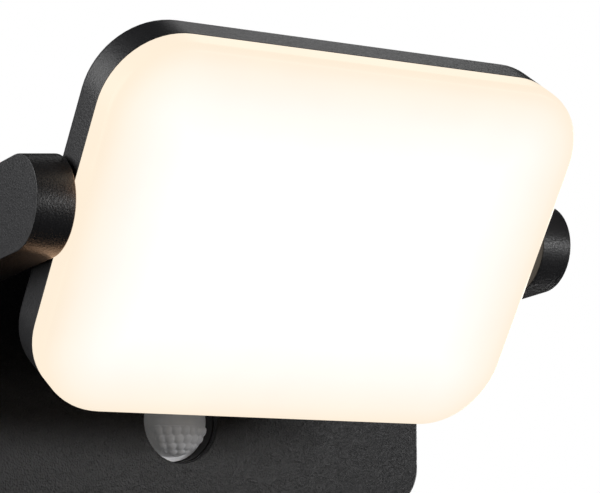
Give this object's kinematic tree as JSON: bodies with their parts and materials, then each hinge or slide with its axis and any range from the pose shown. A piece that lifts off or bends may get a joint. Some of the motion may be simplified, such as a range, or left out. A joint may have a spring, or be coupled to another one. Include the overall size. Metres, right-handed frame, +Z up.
{
  "type": "motion-sensor wall floodlight",
  "caption": "Wall floodlight with a rounded-rectangle opal LED head that tilts between two arms above a motion-sensor base.",
  "frame": {"origin": "centre of the face that meets the wall", "axes": "+X along the head's tilt axis, +Y into the wall, +Z up; the lamp faces -Y"},
  "size_m": [0.2326, 0.172, 0.1675],
  "materials": {
    "powder_coat": "fine-textured anthracite powder coat on die-cast aluminium",
    "opal_diffuser": "opal acrylic, lit from inside, warm white",
    "bracket_steel": "zinc-plated steel",
    "screw_steel": "stainless steel, machined",
    "brass": "turned brass",
    "black_rubber": "matt EPDM rubber",
    "silicone": "translucent white silicone",
    "sensor_lens": "pressed grey-white polythene Fresnel lens",
    "black_plastic": "moulded black ABS",
    "white_plastic": "moulded white polycarbonate",
    "reflector_film": "matt white reflector film",
    "circuit_board": "green solder resist",
    "led_board": "white solder resist on aluminium core",
    "cable_sheath": "light grey silicone sheath"
  },
  "bodies": {
    "base": {"wall_plate": "bracket_steel", "base_gasket": "black_rubber", "base_housing": "powder_coat", "cable_grommet": "black_rubber", "terminal_block": "white_plastic", "driver_case": "white_plastic", "driver_board": "circuit_board", "sensor_holder": "black_plastic", "sensor_lens": "sensor_lens", "sensor_board": "circuit_board", "pyro_sensor": "screw_steel", "arm_lead": "cable_sheath", "left_arm": "powder_coat", "left_arm_cover": "powder_coat", "left_friction_washer": "black_plastic", "left_spring_washer": "screw_steel", "left_arm_screw_upper": "screw_steel", "left_arm_screw_lower": "screw_steel", "left_base_screw": "screw_steel", "left_sensor_board_screw": "screw_steel", "right_arm": "powder_coat", "right_arm_cover": "powder_coat", "right_friction_washer": "black_plastic", "right_spring_washer": "screw_steel", "right_arm_screw_upper": "screw_steel", "right_arm_screw_lower": "screw_steel", "right_base_screw": "screw_steel", "right_sensor_board_screw": "screw_steel"},
    "head": {"head_housing": "powder_coat", "head_gasket": "silicone", "diffuser": "opal_diffuser", "led_board": "led_board", "reflector_sheet": "reflector_film", "head_lead": "cable_sheath", "left_pivot_tube": "screw_steel", "left_pivot_nut": "brass", "right_pivot_tube": "screw_steel", "right_pivot_nut": "brass", "led_board_screw_1": "screw_steel", "rear_screw_1": "screw_steel", "led_board_screw_2": "screw_steel", "rear_screw_2": "screw_steel", "led_board_screw_3": "screw_steel", "rear_screw_3": "screw_steel", "led_board_screw_4": "screw_steel", "rear_screw_4": "screw_steel"},
    "time_dial": {"time_dial": "black_plastic"},
    "lux_dial": {"lux_dial": "black_plastic"},
    "range_dial": {"range_dial": "black_plastic"}
  },
  "joints": [
    {"name": "head_tilt", "type": "hinge", "parent": "base", "child": "head", "pos_m": [0, -0.1182, 0.0371], "axis": [1, 0, 0], "range_deg": [-62.5, 57.5]},
    {"name": "time_dial_turn", "type": "hinge", "parent": "base", "child": "time_dial", "pos_m": [-0.014, -0.022, -0.0638], "axis": [0, 0, 1], "range_deg": [-135, 135]},
    {"name": "lux_dial_turn", "type": "hinge", "parent": "base", "child": "lux_dial", "pos_m": [0, -0.022, -0.0638], "axis": [0, 0, 1], "range_deg": [-135, 135]},
    {"name": "range_dial_turn", "type": "hinge", "parent": "base", "child": "range_dial", "pos_m": [0.014, -0.022, -0.0638], "axis": [0, 0, 1], "range_deg": [-135, 135]}
  ]
}
